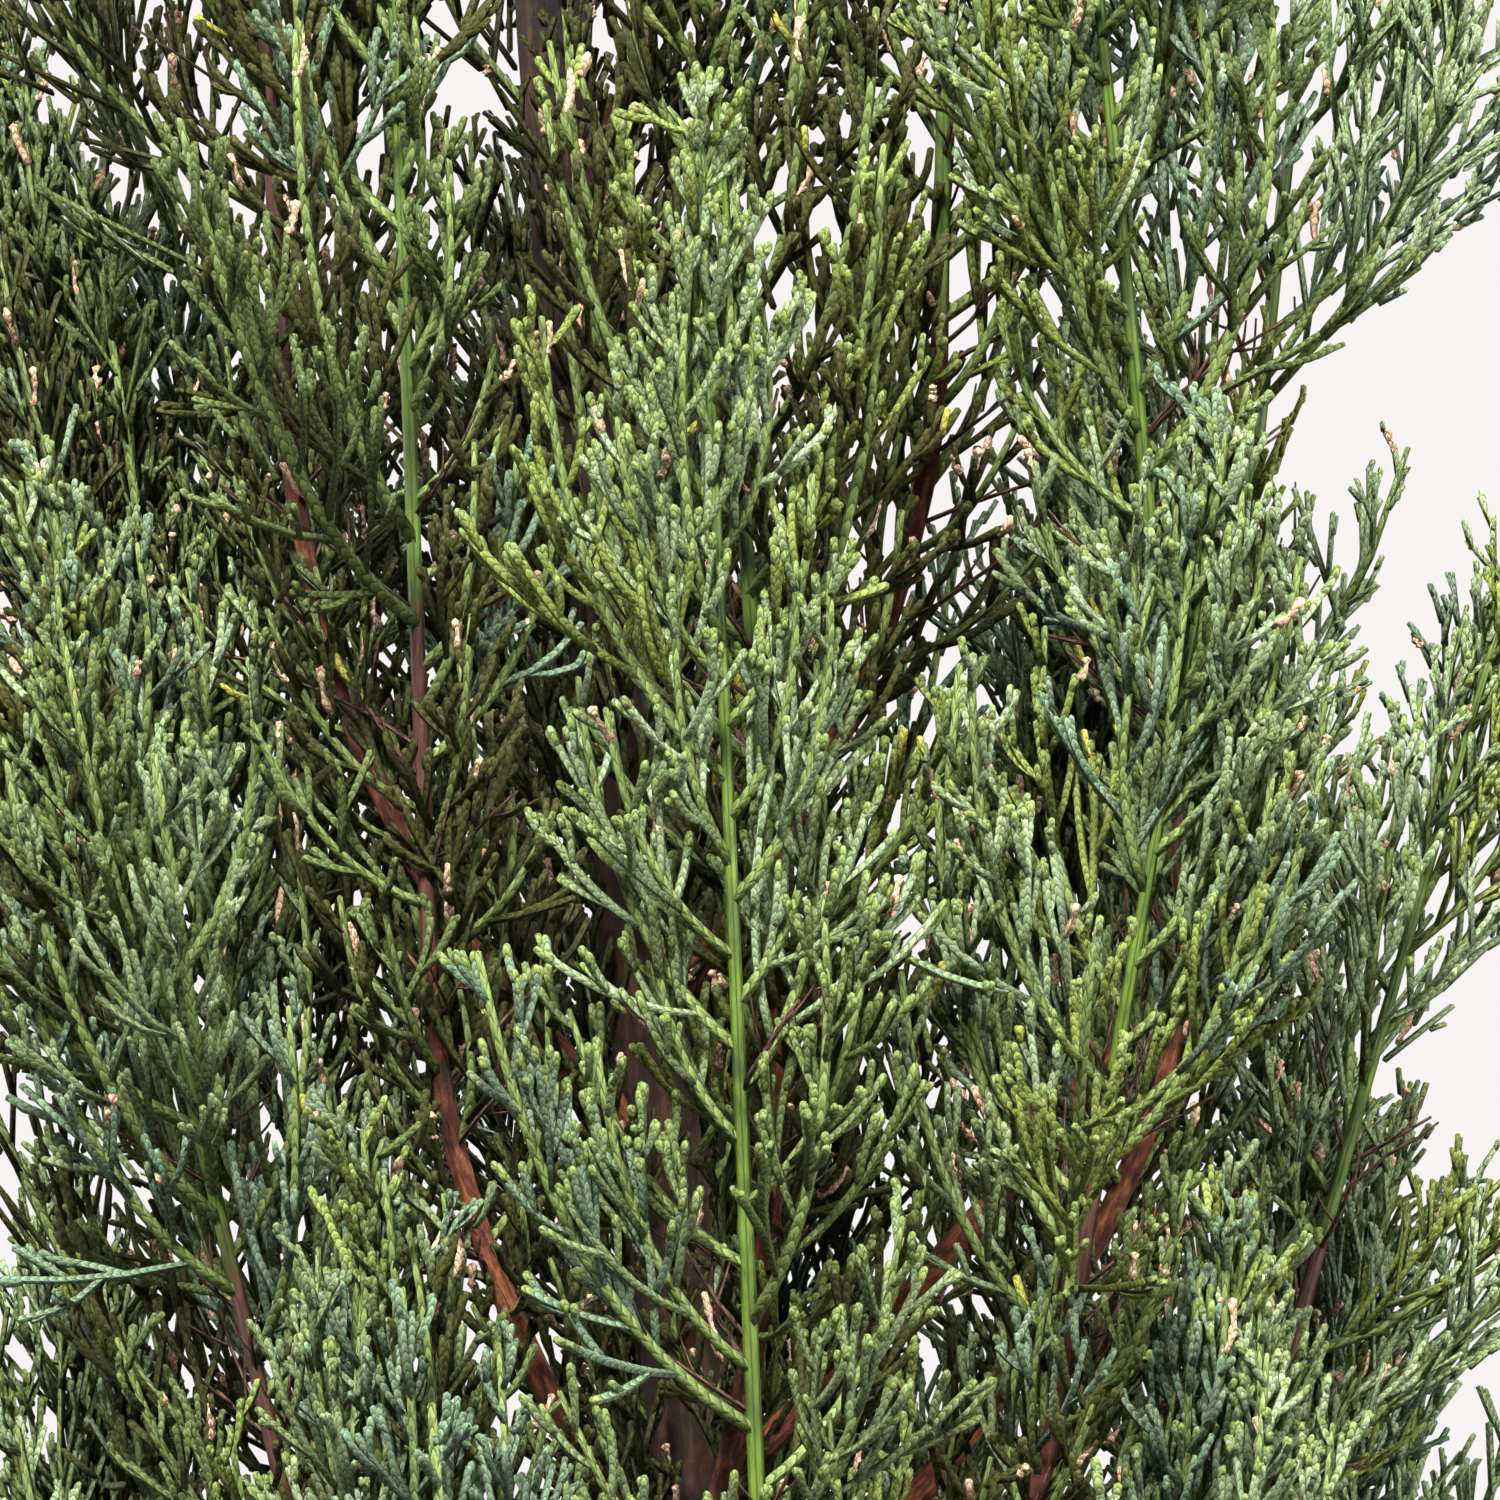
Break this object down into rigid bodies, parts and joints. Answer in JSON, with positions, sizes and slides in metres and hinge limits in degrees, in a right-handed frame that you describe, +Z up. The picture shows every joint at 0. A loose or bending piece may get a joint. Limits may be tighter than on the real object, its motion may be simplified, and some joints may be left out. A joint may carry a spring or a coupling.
{
  "type": "cypress tree",
  "caption": "Young upright cypress tree with a slender leaning trunk, rising boughs and upright plumes of scale-leaved foliage, rooted in level ground.",
  "frame": {"origin": "centre of the flat cut under the trunk, at ground level", "axes": "+Z up along the tree's height, -Y towards the side that the picture shows, +X to the right in it"},
  "size_m": [0.2592, 0.2457, 1.044],
  "materials": {
    "trunk_bark": "rough dark grey-brown bark",
    "bough_bark": "thin red-brown bark",
    "foliage_blue_green": "matt scale leaves",
    "foliage_mid_green": "matt scale leaves",
    "foliage_deep_green": "matt scale leaves"
  },
  "bodies": {
    "root": {"trunk": "trunk_bark", "bough_01": "bough_bark", "bough_02": "bough_bark", "bough_03": "bough_bark", "bough_04": "bough_bark", "bough_05": "bough_bark", "bough_06": "bough_bark", "bough_07": "bough_bark", "bough_08": "bough_bark", "bough_09": "bough_bark", "bough_10": "bough_bark", "bough_11": "bough_bark", "bough_12": "bough_bark", "bough_13": "bough_bark", "bough_14": "bough_bark", "bough_15": "bough_bark", "bough_16": "bough_bark", "bough_17": "bough_bark", "bough_18": "bough_bark", "bough_19": "bough_bark", "bough_20": "bough_bark", "bough_21": "bough_bark", "bough_22": "bough_bark", "bough_23": "bough_bark", "foliage_01": "foliage_blue_green", "foliage_02": "foliage_mid_green", "foliage_03": "foliage_deep_green", "foliage_04": "foliage_blue_green", "foliage_05": "foliage_mid_green", "foliage_06": "foliage_deep_green", "foliage_07": "foliage_blue_green", "foliage_08": "foliage_mid_green", "foliage_09": "foliage_deep_green", "foliage_10": "foliage_blue_green", "foliage_11": "foliage_mid_green", "foliage_12": "foliage_deep_green", "foliage_13": "foliage_blue_green", "foliage_14": "foliage_mid_green", "foliage_15": "foliage_deep_green", "foliage_16": "foliage_blue_green", "foliage_17": "foliage_mid_green", "foliage_18": "foliage_deep_green", "foliage_19": "foliage_blue_green", "foliage_20": "foliage_mid_green", "foliage_21": "foliage_deep_green", "foliage_22": "foliage_blue_green", "foliage_23": "foliage_mid_green", "foliage_24": "foliage_deep_green", "foliage_25": "foliage_blue_green", "foliage_26": "foliage_mid_green", "foliage_27": "foliage_deep_green", "foliage_28": "foliage_blue_green", "foliage_29": "foliage_mid_green", "foliage_30": "foliage_deep_green", "foliage_31": "foliage_blue_green", "foliage_32": "foliage_mid_green", "foliage_33": "foliage_deep_green", "foliage_34": "foliage_blue_green", "foliage_35": "foliage_mid_green", "leader_foliage": "foliage_deep_green"}
  },
  "joints": []
}
